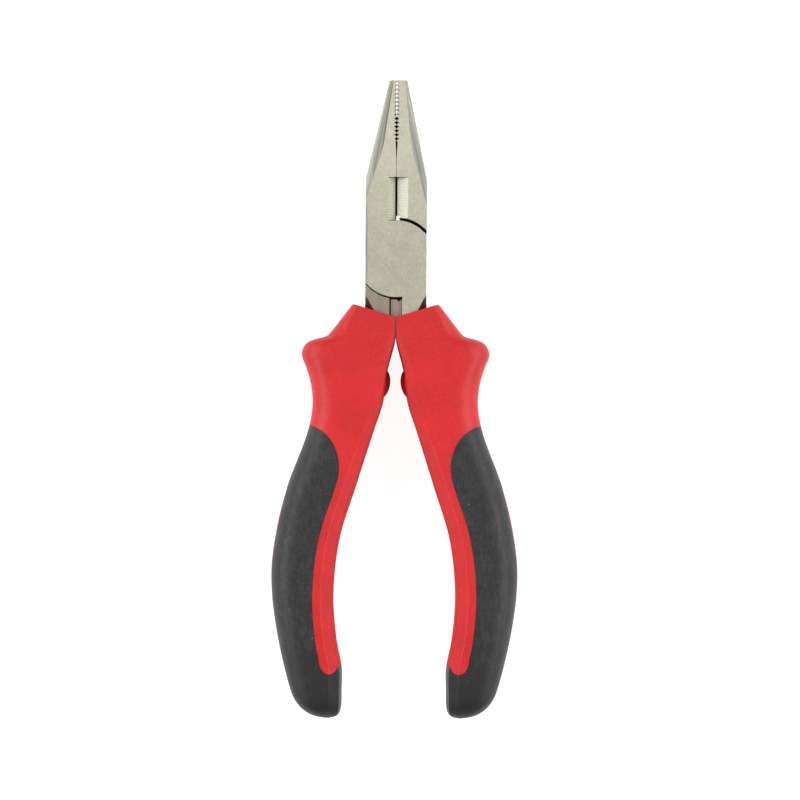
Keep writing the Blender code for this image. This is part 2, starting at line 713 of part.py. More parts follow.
def main():
    steel = make_material(*STEEL)
    rivet_steel = make_material(*RIVET_STEEL)
    red = make_material(*RED_PLASTIC)
    black = make_material(*BLACK_RUBBER)
    front = add_pivot("front_half_pivot", False)
    back = add_pivot("back_half_pivot", True)

    front_half = make_half("front_blank", FRONT_TIP_WIDTH, FRONT_BEVEL_WIDTH, [])
    only_back = [("UNION", stop_web()), ("DIFFERENCE", cutter_notch())]
    back_half = make_half("back_blank", BACK_TIP_WIDTH, BACK_BEVEL_WIDTH, only_back)
    rivet = turned_solid("rivet", rivet_profile(0.0, 0.0))
    core = make_core("core")
    sleeve = make_sleeve("sleeve")
    left_core = copy_part(core)
    left_sleeve = copy_part(sleeve)

    finish(front_half, "front_jaw_half", steel, front)
    finish(back_half, "back_jaw_half", steel, back)
    finish(rivet, "pivot_rivet", rivet_steel, front)
    finish(core, "right_grip_core", red, front)
    finish(sleeve, "right_grip_sleeve", black, front)
    finish(left_core, "left_grip_core", red, back)
    finish(left_sleeve, "left_grip_sleeve", black, back)


clear_scene()
parts = new_collection("needle_nose_pliers")
cutters = new_collection("cutters")
main()
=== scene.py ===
import json
import math

import bmesh
import bpy
import numpy as np
from mathutils import Matrix, Vector


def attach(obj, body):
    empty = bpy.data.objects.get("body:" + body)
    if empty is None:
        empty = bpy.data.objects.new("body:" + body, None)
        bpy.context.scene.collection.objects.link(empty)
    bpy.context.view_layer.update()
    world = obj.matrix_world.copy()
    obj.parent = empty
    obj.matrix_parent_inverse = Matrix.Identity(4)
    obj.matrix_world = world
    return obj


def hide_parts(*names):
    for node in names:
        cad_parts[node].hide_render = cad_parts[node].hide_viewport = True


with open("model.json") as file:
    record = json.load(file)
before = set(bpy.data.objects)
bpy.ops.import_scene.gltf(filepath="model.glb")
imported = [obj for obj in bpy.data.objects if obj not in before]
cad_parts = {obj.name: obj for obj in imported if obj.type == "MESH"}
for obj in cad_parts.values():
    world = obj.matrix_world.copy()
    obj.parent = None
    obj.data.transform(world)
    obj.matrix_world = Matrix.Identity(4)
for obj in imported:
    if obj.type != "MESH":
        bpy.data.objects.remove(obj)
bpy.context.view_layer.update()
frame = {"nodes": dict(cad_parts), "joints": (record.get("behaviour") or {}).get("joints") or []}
nodes = frame["nodes"]
print("frame loaded:", sorted(nodes))

pivot = Vector(frame["joints"][0]["pos_m"])  # on the rivet's axis, in the middle of the thickness
photo = {
    "width": 800, "metresPerPixel": 0.00025155, "midX": 395.3, "midY": 399.0, "roll": -0.30,
    "eyeAway": 0.62, "sensor": 36.0,
}


# small helpers for modelling

def deselectAll():
    if bpy.context.object and bpy.context.object.mode != "OBJECT":
        bpy.ops.object.mode_set(mode="OBJECT")
    bpy.ops.object.select_all(action="DESELECT")


def makeActive(piece):
    deselectAll()
    piece.select_set(True)
    bpy.context.view_layer.objects.active = piece


def skinFromRings(name, rings):
    # one round face, extruded from ring to ring
    deselectAll()
    bpy.ops.mesh.primitive_circle_add(vertices=len(rings[0]), radius=0.01, fill_type="NGON")
    skin = bpy.context.object
    skin.name = name
    bpy.ops.object.mode_set(mode="EDIT")
    shape = bmesh.from_edit_mesh(skin.data)
    order = shape.verts.layers.int.new("ringOrder")
    for index, vert in enumerate(shape.verts):
        vert[order] = index
        vert.co = rings[0][index]
    bmesh.update_edit_mesh(skin.data)
    for ring in rings[1:]:
        bpy.ops.mesh.select_mode(type="FACE")
        bpy.ops.mesh.extrude_region_move()
        shape = bmesh.from_edit_mesh(skin.data)
        order = shape.verts.layers.int["ringOrder"]
        for vert in shape.verts:
            if vert.select:
                vert.co = ring[vert[order]]
        bmesh.update_edit_mesh(skin.data)
    bpy.ops.mesh.select_all(action="SELECT")
    bpy.ops.mesh.normals_make_consistent(inside=False)
    bpy.ops.object.mode_set(mode="OBJECT")
    return skin


def prism(name, outline, low, high, place):
    # an outline of two numbers a point, pulled from low to high; place puts the three numbers in order
    rings = [[Vector(place(a, b, level)) for a, b in outline] for level in (low, high)]
    return skinFromRings(name, rings)


def planPrism(name, outline, low, high):
    return prism(name, outline, low, high, lambda a, b, level: (a, b, level))


def sidePrism(name, outline, low, high):
    return prism(name, outline, low, high, lambda a, b, level: (level, a, b))


def lengthPrism(name, outline, low, high):
    # all three numbers are measured from the pivot
    return prism(name, outline, low, high, lambda a, b, level: pivot + Vector((a, level, b)))


def carve(piece, operation, tool):
    cut = piece.modifiers.new("carve", "BOOLEAN")
    cut.operation = operation
    cut.solver = "EXACT"
    cut.object = tool
    makeActive(piece)
    bpy.ops.object.modifier_apply(modifier=cut.name)
    bpy.data.objects.remove(tool, do_unlink=True)
    return piece


def mergeClose(piece, distance):
    makeActive(piece)
    bpy.ops.object.mode_set(mode="EDIT")
    bpy.ops.mesh.select_all(action="SELECT")
    bpy.ops.mesh.remove_doubles(threshold=distance)
    bpy.ops.object.mode_set(mode="OBJECT")


sortPoint = (0.31, -0.73, 0.17)  # off every plane of symmetry


def islandsOf(shape):
    waiting, islands = set(shape.faces), []
    while waiting:
        island, reached = set(), [waiting.pop()]
        while reached:
            face = reached.pop()
            island.add(face)
            near = {other for edge in face.edges for other in edge.link_faces} & waiting
            waiting -= near
            reached += near
        islands.append(island)
    return islands


def cleanMesh(piece, distance, smallest=40):
    # joins points within a hair of each other, and takes away crumbs that a cut has left loose;
    # sorted first, because a cut gives its points in no fixed order
    makeActive(piece)
    bpy.context.scene.cursor.location = sortPoint
    bpy.ops.object.mode_set(mode="EDIT")
    bpy.ops.mesh.select_mode(type="VERT")
    bpy.ops.mesh.select_all(action="SELECT")
    bpy.ops.mesh.sort_elements(type="CURSOR_DISTANCE", elements={"VERT", "EDGE", "FACE"})
    bpy.context.scene.cursor.location = (0, 0, 0)
    bpy.ops.mesh.remove_doubles(threshold=distance)
    bpy.ops.mesh.dissolve_degenerate(threshold=distance)
    shape = bmesh.from_edit_mesh(piece.data)
    for island in islandsOf(shape):
        if len(island) < smallest:
            bmesh.ops.delete(shape, geom=list(island), context="FACES")
    bmesh.update_edit_mesh(piece.data)
    bpy.ops.mesh.select_all(action="SELECT")
    bpy.ops.mesh.normals_make_consistent(inside=False)
    bpy.ops.object.mode_set(mode="OBJECT")


def shadeByAngle(piece, angle):
    makeActive(piece)
    bpy.ops.object.shade_smooth_by_angle(angle=math.radians(angle))


def finishPiece(piece, body, slot, finish, *replaced):
    piece.data.materials.clear()
    piece.data.materials.append(finish)
    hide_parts(*replaced)
    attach(piece, body)
    print("piece", piece.name, len(piece.data.polygons), "faces")


def arc(centre, radii, start, end, steps):
    angles = np.radians(np.linspace(start, end, steps + 1))
    return [(centre[0] + radii[0] * math.cos(a), centre[1] + radii[1] * math.sin(a)) for a in angles]


def moved(outline):
    return [(a + pivot.x, b + pivot.y) for a, b in outline]


def smoothStep(value, low, high):
    share = min(1.0, max(0.0, (value - low) / (high - low)))
    return share * share * (3 - 2 * share)


def smoothEdge(knots, steps=24):
    # a smooth curve through (drop, value) knots, as two rising rows of numbers
    points = np.array(knots)
    points = np.vstack([2 * points[0] - points[1], points, 2 * points[-1] - points[-2]])
    drops, values = [], []
    for before, start, end, after in zip(points, points[1:], points[2:], points[3:]):
        spans = [np.linalg.norm(b - a) ** 0.5 for a, b in ((before, start), (start, end), (end, after))]
        leave = (start - before) / spans[0] - (end - before) / (spans[0] + spans[1])
        leave = (leave + (end - start) / spans[1]) * spans[1]
        arrive = (end - start) / spans[1] - (after - start) / (spans[1] + spans[2])
        arrive = (arrive + (after - end) / spans[2]) * spans[1]
        for t in np.linspace(0, 1, steps, endpoint=False):
            point = (2 * t**3 - 3 * t**2 + 1) * start + (t**3 - 2 * t**2 + t) * leave
            point = point + (3 * t**2 - 2 * t**3) * end + (t**3 - t**2) * arrive
            drops.append(point[0])
            values.append(point[1])
    drops.append(points[-2][0])
    values.append(points[-2][1])
    return np.maximum.accumulate(drops), np.array(values)


def valueAt(edge, drop):
    return float(np.interp(drop, edge[0], edge[1]))


# shader maths

class Wire:
    # a number on a socket, so that sums of masks read as sums
    def __init__(self, finish, socket):
        self.finish = finish
        self.socket = socket

    def math(self, operation, first, second=0.0):
        node = self.finish.add("ShaderNodeMath", {"operation": operation}, {0: first, 1: second})
        return Wire(self.finish, node.outputs[0])

    def __add__(self, other):
        return self.math("ADD", self, other)

    def __radd__(self, other):
        return self.math("ADD", other, self)

    def __sub__(self, other):
        return self.math("SUBTRACT", self, other)

    def __rsub__(self, other):
        return self.math("SUBTRACT", other, self)

    def __mul__(self, other):
        return self.math("MULTIPLY", self, other)

    def __truediv__(self, other):
        return self.math("DIVIDE", self, other)

    def __abs__(self):
        return self.math("ABSOLUTE", self)

    def __pow__(self, other):
        return self.math("POWER", self, other)

    def either(self, other):
        return 1.0 - (1.0 - self) * (1.0 - other)

    def sine(self):
        return self.math("SINE", self)

    def ramp(self, low, high):
        # 0 below low, 1 above high, smooth between them; low above high turns it round
        node = self.finish.add("ShaderNodeMapRange", {"interpolation_type": "SMOOTHSTEP"},
                               {"Value": self, "From Min": low, "From Max": high})
        return Wire(self.finish, node.outputs[0])


class Finish:
    # one material and the nodes that make it
    def __init__(self, name):
        self.material = bpy.data.materials.new(name)
        self.material.use_nodes = True
        self.tree = self.material.node_tree
        self.shader = self.tree.nodes["Principled BSDF"]
        self.place = self.add("ShaderNodeTexCoord", {}, {})
        self.spot = self.place.outputs["Object"]
        split = self.add("ShaderNodeSeparateXYZ", {}, {0: self.spot})
        self.x, self.y, self.z = [Wire(self, output) for output in split.outputs]
        facing = self.add("ShaderNodeSeparateXYZ", {}, {0: self.place.outputs["Normal"]})
        self.normalX, self.normalY, self.normalZ = [Wire(self, output) for output in facing.outputs]

    def add(self, kind, settings, inputs):
        node = self.tree.nodes.new(kind)
        for name, value in settings.items():
            setattr(node, name, value)
        for name, value in inputs.items():
            self.plug(value, node.inputs[name])
        return node

    def plug(self, value, socket):
        if isinstance(value, Wire):
            self.tree.links.new(value.socket, socket)
        elif isinstance(value, bpy.types.NodeSocket):
            self.tree.links.new(value, socket)
        else:
            socket.default_value = value

    def noise(self, size, detail=3.0, roughness=0.5, turn=0.0, stretch=(1.0, 1.0, 1.0), spot=None):
        # size is the width of one blot in metres, stretched along an axis
        scale = [1.0 / (size * s) for s in stretch]
        mapped = self.add("ShaderNodeMapping", {}, {"Vector": spot or self.spot, "Scale": scale,
                                                    "Rotation": (0.0, 0.0, turn)})
        node = self.add("ShaderNodeTexNoise", {}, {"Vector": mapped.outputs[0], "Scale": 1.0,
                                                   "Detail": detail, "Roughness": roughness})
        return Wire(self, node.outputs["Fac"])

    def blend(self, factor, first, second, kind="MIX"):
        settings = {"data_type": "RGBA", "blend_type": kind, "clamp_factor": True}
        node = self.add("ShaderNodeMix", settings, {0: factor})
        for value, socket in ((first, node.inputs[6]), (second, node.inputs[7])):
            self.plug((*value, 1.0) if isinstance(value, tuple) else value, socket)
        return node.outputs[2]

    def tinted(self, color, shade):
        grey = self.add("ShaderNodeCombineColor", {}, {0: shade, 1: shade, 2: shade})
        return self.blend(1.0, color, grey.outputs[0], "MULTIPLY")

    def bump(self, height, strength, distance):
        inputs = {"Height": height, "Strength": strength, "Distance": distance}
        node = self.add("ShaderNodeBump", {}, inputs)
        self.tree.links.new(node.outputs[0], self.shader.inputs["Normal"])

    def set(self, **values):
        for name, value in values.items():
            label = {"color": "Base Color", "roughness": "Roughness", "metallic": "Metallic",
                     "specular": "Specular IOR Level"}[name]
            self.plug((*value, 1.0) if isinstance(value, tuple) else value, self.shader.inputs[label])


# steel

steelLook = {
    "face": (0.678, 0.657, 0.519),
    "flank": (0.450, 0.454, 0.384),
    "band": (0.42, 0.42, 0.42),
    "bevelLeft": (0.580, 0.570, 0.470),
    # painted light: the second bevel's lighter colour stands in for the light it catches
    "bevelRightPaintedLight": (0.648, 0.634, 0.535),
    # web and scale colours hold a painted red reflection of the grips; scale and lap are darkened by painted
    # shade as well
    "web": (0.472, 0.362, 0.335),
    "shoulder": (0.372, 0.322, 0.244),
    "scale": (0.070, 0.042, 0.038),
    "lap": (0.034, 0.029, 0.025),
}
steelNoise = {
    "streaks": {"size": 0.016, "detail": 4.0, "roughness": 0.65, "stretch": (1.0, 1.6, 0.25)},
    "broad": {"size": 0.048, "detail": 2.0, "stretch": (1.0, 1.0, 0.40)},
    "cloud": {"size": 0.0040, "roughness": 0.55},
    "fine": {"size": 0.00042, "detail": 4.0, "roughness": 0.7, "stretch": (1.0, 1.8, 1.0)},
    "hair": {"size": 0.00010, "detail": 1.0, "turn": 0.12, "stretch": (1.0, 45.0, 1.0)},
    "wobble": {"size": 0.0011, "detail": 2.0},
    "milled": {"size": 0.00013, "detail": 2.0, "roughness": 0.6, "stretch": (22.0, 1.0, 8.0)},
}
# the part of a noise's range that is stretched to go from 0 to 1
steelRange = {"hair": (0.64, 0.72), "ground": (0.26, 0.74), "groundBroad": (0.30, 0.70), "cuts": (0.50, 0.98)}
# where a zone fades in, in metres from the pivot: the first number has none of it, the second all
steelZone = {
    "nose": (0.016, 0.034), "jawRoot": (0.008, 0.016), "disc": (0.014, -0.004), "tip": (0.0200, 0.0230),
    "bandSide": (0.00695, 0.00730), "bandTop": (0.0150, 0.0110), "bandFoot": (-0.0100, -0.0090),
    "shoulderArc": (0.00960, 0.00968), "shoulderTop": (-0.0040, -0.0045),
    "cutterFoot": (0.00990, 0.01005), "cutterTop": (0.02045, 0.02035), "bevelSide": (0.0031, 0.0030),
    # the next two zones are painted shade at the ends of the cutter bevels
    "cornerFoot": (0.01008, 0.01030), "cornerTop": (0.02035, 0.02014),
    "crotch": (-0.0093, -0.0098), "webSide": (0.00162, 0.00158), "webFace": (0.0044, 0.0042),
    "webFloor": (0.0034, 0.0037), "sunk": (0.0042, 0.0040), "shankSide": (-0.0086, -0.0096),
    "gapIn": (0.0094, 0.00955), "gapOut": (0.01060, 0.01045), "gapFace": (0.00478, 0.00462),
    "lapLevel": (0.0007, 0.0004), "lapOut": (0.0110, 0.0106),
    "slotSide": (0.00036, 0.00026), "slotFoot": (0.0112, 0.0116), "slotTop": (0.0296, 0.0290),
}
# the same by how far a face looks up: 0 for a wall, 1 for a level face
steelTilt = {
    "flank": (0.965, 0.86), "noseSlope": (0.45, 0.80), "noseSide": (0.62, 0.35), "bevel": (0.92, 0.86),
    "web": (0.5, 0.9), "shankSide": (0.965, 0.90), "slotWall": (0.9, 0.6),
}
# a base number and shares of the noises
steelTone = {
    "flat": {"base": 0.58, "cloud": 0.24, "fine": 0.60, "hair": 0.07},
    "flank": {"base": 0.50, "ground": 0.52, "groundBroad": 0.50},
    "shoulder": {"base": 0.70, "streaks": 0.40, "fine": 0.25},
    "web": {"base": 0.72, "cloud": 0.30, "fine": 0.26},
    "scale": {"base": 0.6, "fine": 0.8},
    "lap": {"base": 0.7, "fine": 0.7},
    "rough": {"base": 0.42, "cloud": 0.05, "fine": 0.06, "hair": -0.05},
}
# painted light on the polished flats: lighter on the nose and jaw root, darker on the disc
flatPaintedLight = {"nose": 0.18, "jawRoot": 0.05, "disc": -0.07}
# painted shade on the nose's flanks, by tilt and by side
flankPaintedShade = {"slope": 0.20, "slopeHanded": 0.14, "side": 0.16}
# the cutter bevels' tone; the end share is painted shade
bevelTone = {"base": 0.80, "milled": 0.40, "cuts": 0.30, "cutsOnPaintedLit": 0.20, "corner": 0.62}
bandShare = 0.8
dullness = {"bevel": 0.65, "web": 0.6, "shoulder": 0.25, "scale": 0.7}
roughShare = {"flank": 0.06, "streaks": 0.10, "dull": 0.10, "oilAndPaintedShade": 0.35}
steelRelief = {"streaks": 0.5, "broad": 0.5, "fine": 0.12, "hair": 0.10}
steelBump = {"strength": 0.28, "distance": 0.00006}
noseApex = 0.0517  # the grinding marks run to this point on the middle line
footShift = 0.0005  # the cutter of the left jaw starts lower by this
millMarks = {"along": 9600.0, "across": 1100.0, "wobble": 2.2}  # phase in radians, a metre for the first two
sideBlend = 0.000001  # square metres, over which a choice of side fades


class SteelFinish(Finish):
    # the steel's own coordinates and the noises that its zones share
    def __init__(self, name):
        super().__init__(name)
        self.up = abs(self.normalZ)
        self.across, self.along, self.depth = self.x - pivot.x, self.y - pivot.y, self.z - pivot.z
        self.away = (self.across * self.across + self.along * self.along) ** 0.5
        self.handed = (self.across * self.depth).ramp(0.0, -sideBlend)
        self.flank = self.tilt("flank")
        fan = self.across / (noseApex - self.along)
        fanSpot = self.add("ShaderNodeCombineXYZ", {}, {0: fan, 1: self.along, 2: self.depth}).outputs[0]
        self.streaks = self.noise(**steelNoise["streaks"], spot=fanSpot)
        self.broad = self.noise(**steelNoise["broad"], spot=fanSpot)
        self.ground = self.streaks.ramp(*steelRange["ground"])
        self.groundBroad = self.broad.ramp(*steelRange["groundBroad"])
        self.cloud = self.noise(**steelNoise["cloud"])
        self.fine = self.noise(**steelNoise["fine"])
        self.hair = self.noise(**steelNoise["hair"]).ramp(*steelRange["hair"])

    def zone(self, value, *names):
        # where value is inside all the named zones
        inside = value.ramp(*steelZone[names[0]])
        for name in names[1:]:
            inside = inside * value.ramp(*steelZone[name])
        return inside

    def tilt(self, name):
        return self.up.ramp(*steelTilt[name])

    def tone(self, name):
        shares = dict(steelTone[name])
        total = shares.pop("base")
        for noise, share in shares.items():
            total = total + getattr(self, noise) * share
        return total


def flatTone(steel):
    # polished flats, with painted light making them a little lighter to the tip, where the tapering nose
    # faces the light
    tone = steel.tone("flat")
    for name, share in flatPaintedLight.items():
        tone = tone + steel.zone(steel.along, name) * share
    return tone


def flankTone(steel):
    # flanks with lengthwise grinding, with painted shade on the nose by the flank's tilt and side
    paintedFlankShade = steel.tilt("noseSlope") * (flankPaintedShade["slope"] + steel.handed * flankPaintedShade["slopeHanded"])
    paintedFlankShade = paintedFlankShade + (1.0 - steel.handed) * steel.tilt("noseSide") * flankPaintedShade["side"]
    return steel.tone("flank") - paintedFlankShade * steel.zone(steel.along, "tip")


def cutterBevel(steel):
    # side cutter, milled across, with painted light making one bevel brighter than the other and painted
    # shade at both ends of the bevels: its mask, colour and relief
    across, along = steel.across, steel.along
    fromFoot = along + steel.handed * footShift
    mask = steel.zone(fromFoot, "cutterFoot") * steel.zone(along, "cutterTop")
    mask = mask * steel.zone(abs(across), "bevelSide") * steel.tilt("bevel")
    wobble = steel.noise(**steelNoise["wobble"])
    phase = steel.y * millMarks["along"] + across * millMarks["across"] + wobble * millMarks["wobble"]
    cuts = phase.sine().ramp(*steelRange["cuts"])
    milled = steel.noise(**steelNoise["milled"])
    # painted light: the bevel on this side gets the lighter colour and fainter cuts
    paintedLitBevel = (across * steel.depth).ramp(-sideBlend, sideBlend)
    # painted shade in the pocket's corners at both ends of the bevel
    corner = 1.0 - steel.zone(fromFoot, "cornerFoot") * steel.zone(along, "cornerTop")
    tone = bevelTone["base"] + milled * bevelTone["milled"]
    tone = tone - cuts * (bevelTone["cuts"] - paintedLitBevel * bevelTone["cutsOnPaintedLit"]) - corner * bevelTone["corner"]
    color = steel.blend(paintedLitBevel, steelLook["bevelLeft"], steelLook["bevelRightPaintedLight"])
    return mask, steel.tinted(color, tone), milled - cuts


def jointZones(steel, onBevel):
    # unpolished web in the crotch; forge scale on the shank's lower sides and in the crotch's recess; old oil
    # on the lap faces. Painted light in these too: a painted red reflection of the grips on web and scale,
    # painted shade on the scale and in the joint's gap and the slit
    beside, level = abs(steel.across), abs(steel.depth)
    crotch = steel.zone(steel.along, "crotch")
    # the web's pinkish colour is partly a painted reflection of the red grips
    web = crotch * steel.zone(beside, "webSide") * steel.zone(level, "webFace", "webFloor")
    web = web * steel.tilt("web")
    # painted shade and a painted red reflection of the grips over forge scale, by tilt on the shank's lower
    # sides
    shankSide = steel.zone(steel.along, "shankSide") * steel.tilt("shankSide")
    scaleAndPaintedShade = shankSide.either(crotch * steel.zone(level, "sunk") * (1.0 - web))
    # painted shade in the gap round the disc's arc
    inGap = steel.zone(steel.away, "gapIn", "gapOut") * steel.zone(level, "gapFace")
    nearLap = steel.zone(level, "lapLevel") * steel.zone(steel.away, "lapOut")
    # painted shade on the slit's walls
    inSlot = steel.zone(beside, "slotSide") * steel.zone(steel.along, "slotFoot", "slotTop")
    oilAndPaintedShade = inGap.either(nearLap) * (1.0 - onBevel) * (1.0 - web)
    oilAndPaintedShade = oilAndPaintedShade.either(inSlot * steel.tilt("slotWall"))
    return web, scaleAndPaintedShade, oilAndPaintedShade


def makeSteel():
    steel = SteelFinish("nickelSteel")
    flank, onFlank = steel.flank, flankTone(steel)
    color = steel.blend(flank, steelLook["face"], steelLook["flank"])
    color = steel.tinted(color, flank * onFlank + (1.0 - flank) * flatTone(steel))

    # thin grey band along one side of the head, toned like the flanks
    band = steel.zone(abs(steel.across), "bandSide") * steel.zone(steel.along, "bandTop", "bandFoot")
    color = steel.blend(band * steel.handed * bandShare, color, steel.tinted(steelLook["band"], onFlank))

    # shoulder under the disc's lower arc, as it comes from the forge
    shoulder = steel.zone(steel.away, "shoulderArc") * steel.zone(steel.along, "shoulderTop") * steel.handed
    color = steel.blend(shoulder, color, steel.tinted(steelLook["shoulder"], steel.tone("shoulder")))

    onBevel, bevelColor, bevelRelief = cutterBevel(steel)
    web, scaleAndPaintedShade, oilAndPaintedShade = jointZones(steel, onBevel)
    color = steel.blend(onBevel, color, bevelColor)
    # web, scale and lap colours: real finish mixed with painted reflection and painted shade
    for mask, name in ((web, "web"), (scaleAndPaintedShade, "scale"), (oilAndPaintedShade, "lap")):
        color = steel.blend(mask, color, steel.tinted(steelLook[name], steel.tone(name)))

    dull = (onBevel * dullness["bevel"]).either(web * dullness["web"])
    dull = dull.either(shoulder * dullness["shoulder"]).either(scaleAndPaintedShade * dullness["scale"]).either(oilAndPaintedShade)
    rough = steel.tone("rough") - flank * roughShare["flank"] + flank * steel.streaks * roughShare["streaks"]
    rough = rough + dull * roughShare["dull"] + oilAndPaintedShade * roughShare["oilAndPaintedShade"]
    steel.set(color=color, roughness=rough, metallic=1.0 - dull)
    relief = flank * (steel.streaks * steelRelief["streaks"] + steel.broad * steelRelief["broad"])
    relief = relief + steel.fine * steelRelief["fine"] + steel.hair * steelRelief["hair"]
    steel.bump(relief + onBevel * bevelRelief, **steelBump)
    return steel.material


# red plastic and black rubber

redLook = {
    "plain": (0.674, 0.0060, 0.0072),
    "deep": (0.568, 0.0036, 0.0046),
    "pale": (0.780, 0.0230, 0.0255),
    # painted shade for the inner walls between the grips
    "shade": (0.200, 0.0030, 0.0040),
    "specular": 0.60,
}
redNoise = {
    "cloud": {"size": 0.0060, "roughness": 0.55},
    "grain": {"size": 0.00048, "detail": 4.0, "roughness": 0.7},
    "speck": {"size": 0.00070, "detail": 1.0},
}
redRange = {
    "cloud": (0.36, 0.68), "grain": (0.40, 0.75), "speck": (0.66, 0.74), "collar": (0.002, 0.016),
    "wall": (0.60, 0.25),
}
# the collar share darkens the collars as painted shade
redShare = {"cloud": 0.8, "collar": 0.7, "grain": 0.60, "speck": 0.30, "inward": 0.18}
redRough = {"base": 0.41, "grain": 0.16, "cloud": 0.04, "inward": 0.30}
redRelief = {"grain": 0.9, "speck": 0.3}
redBump = {"strength": 0.30, "distance": 0.00008}


def makeRed():
    red = Finish("redPlastic")
    cloud, grain = red.noise(**redNoise["cloud"]), red.noise(**redNoise["grain"])
    speck = red.noise(**redNoise["speck"]).ramp(*redRange["speck"])
    collarPaintedShade = red.y.ramp(*redRange["collar"])  # painted shade: the collars are painted a little deeper, their flat faces catching less light
    deeper = cloud.ramp(*redRange["cloud"]) * redShare["cloud"] + collarPaintedShade * redShare["collar"]
    paler = grain.ramp(*redRange["grain"]) * redShare["grain"] + speck * redShare["speck"]
    # painted shade on the inner walls that face the other grip, which are also made rougher
    inward = (red.normalX * red.x).ramp(0.0, -2 * sideBlend) * abs(red.normalZ).ramp(*redRange["wall"])
    color = red.blend(deeper, redLook["plain"], redLook["deep"])
    color = red.blend(paler, color, redLook["pale"])
    color = red.blend(inward * redShare["inward"], color, redLook["shade"])
    rough = redRough["base"] + grain * redRough["grain"] + cloud * redRough["cloud"]
    red.set(color=color, roughness=rough + inward * redRough["inward"], specular=redLook["specular"])
    red.bump(grain * redRelief["grain"] + speck * redRelief["speck"], **redBump)
    return red.material


blackLook = {
    "plain": (0.0140, 0.0145, 0.0149),
    "pale": (0.0450, 0.0456, 0.0458),
    "dust": (0.20, 0.20, 0.20),
    "specular": 0.55,
}
blackNoise = {
    "cloud": {"size": 0.0045, "detail": 4.0, "roughness": 0.6},
    "grain": {"size": 0.00050, "detail": 4.0, "roughness": 0.7},
    "brushed": {"size": 0.00090, "detail": 4.0, "roughness": 0.65, "turn": -0.15, "stretch": (1.0, 3.5, 1.0)},
    "dust": {"size": 0.00080, "detail": 0.0},
}
blackRange = {
    "cloud": (0.36, 0.70), "brushed": (0.38, 0.70), "grain": (0.42, 0.72), "dust": (0.87, 0.90),
    # the tail range, with the tail share below, is painted shade
    "tail": (-0.058, -0.076),
}
blackShare = {"cloud": 0.40, "brushed": 0.45, "grain": 0.60, "less": 0.20, "tail": 0.52, "dust": 0.6}
blackRough = {"base": 0.40, "grain": 0.18, "cloud": 0.06}
blackRelief = {"grain": 0.8, "brushed": 0.6}
blackBump = {"strength": 0.40, "distance": 0.00009}


def makeBlack():
    black = Finish("blackRubber")
    noises = {name: black.noise(**about) for name, about in blackNoise.items()}
    spread = {name: noise.ramp(*blackRange[name]) for name, noise in noises.items()}
    tailPaintedShade = black.y.ramp(*blackRange["tail"])  # painted shade, darker towards the tails' ends
    paler = spread["cloud"] * blackShare["cloud"] + spread["brushed"] * blackShare["brushed"]
    paler = paler + spread["grain"] * blackShare["grain"] - blackShare["less"] - tailPaintedShade * blackShare["tail"]
    color = black.blend(paler, blackLook["plain"], blackLook["pale"])
    color = black.blend(spread["dust"] * blackShare["dust"], color, blackLook["dust"])
    grain, cloud, brushed = noises["grain"], noises["cloud"], noises["brushed"]
    rough = blackRough["base"] + grain * blackRough["grain"] + cloud * blackRough["cloud"]
    black.set(color=color, roughness=rough, specular=blackLook["specular"])
    black.bump(grain * blackRelief["grain"] + brushed * blackRelief["brushed"], **blackBump)
    return black.material


steelFinish = makeSteel()
redFinish = makeRed()
blackFinish = makeBlack()
print("finishes made")


# jaw halves: the CAD forgings with closed cutting edges and rounded edges

forging = {
    "merge": 0.000002, "teethEnd": 0.0300, "teethHalf": 0.0007, "teethGrow": 1.25,
    "edgeRound": 0.00012, "shortestEdge": 0.00025, "headEnd": -0.0125, "noseStart": 0.0205, "seat": 0.0050,
    "faceHalf": 0.00485, "tipHalf": 0.00165, "taperStart": 0.0270, "taperEnd": 0.0450, "taperBlend": 0.0026,
    "skim": 0.000003, "over": 0.001, "reach": 0.02, "flatAngle": 0.6, "smoothAngle": 12,
    "wallUp": 0.5, "faceUp": 0.9, "edgeSegments": 2, "taperSteps": 13,
}
# low has the back half's value second
knife = {"low": (0.00990, 0.01056), "high": 0.0203, "root": 0.00030, "half": 0.00085, "apart": 0.0004}
slit = {"low": (0.0202, 0.0202), "high": 0.0362, "root": 0.00068, "half": 0.00050, "apart": 0.0003}
seamLap = 0.00003


def seamWedge(name, side, about):
    # closes the seam halfway down, so that it shows as a dark line; the two wedges pass one above the other
    root, middle, half = side * about["root"], -side * about["apart"], about["half"]
    outline = [(root, middle - half), (-side * seamLap, middle), (root, middle + half)]
    return lengthPrism(name, outline, about["low"][0 if side < 0 else 1], about["high"])


webEdge = {
    "right": 0.001585, "left": -0.00135, "root": -0.00170, "top": 0.01005, "deepTop": 0.0088,
    "low": 0.01402, "middle": 0.01447, "deepLevels": (-0.00462, -0.00028), "frontLevels": (-0.00060, 0.00390),
    "arc": (262.3, 272.0), "arcSteps": 6, "chip": [(0.00072, -0.01058), (0.00108, -0.01016)],
}


def webLips():
    # carry the crotch's web up to the other shank, down to the collars and, in front, almost to the face
    edge = webEdge
    low, foot = -edge["low"], (0.0, -edge["middle"])
    deep = [(edge["root"], -edge["deepTop"]), (edge["right"], -edge["deepTop"])]
    deep += [(edge["right"], low), foot, (edge["root"], low)]
    front = arc((0.0, 0.0), (edge["top"], edge["top"]), *edge["arc"], edge["arcSteps"]) + edge["chip"]
    front += [(edge["right"], -edge["top"]), (edge["right"], low), foot, (edge["left"], low)]
    shapes = (("webLip", deep, edge["deepLevels"]), ("webFront", front, edge["frontLevels"]))
    return [planPrism(name, moved(outline), pivot.z + levels[0], pivot.z + levels[1])
            for name, outline, levels in shapes]


notch = {
    "left": -0.00010, "right": 0.00115, "point": 0.00050, "top": 0.01060, "foot": 0.00975, "lean": 0.00078,
    "reach": 0.0052,
}


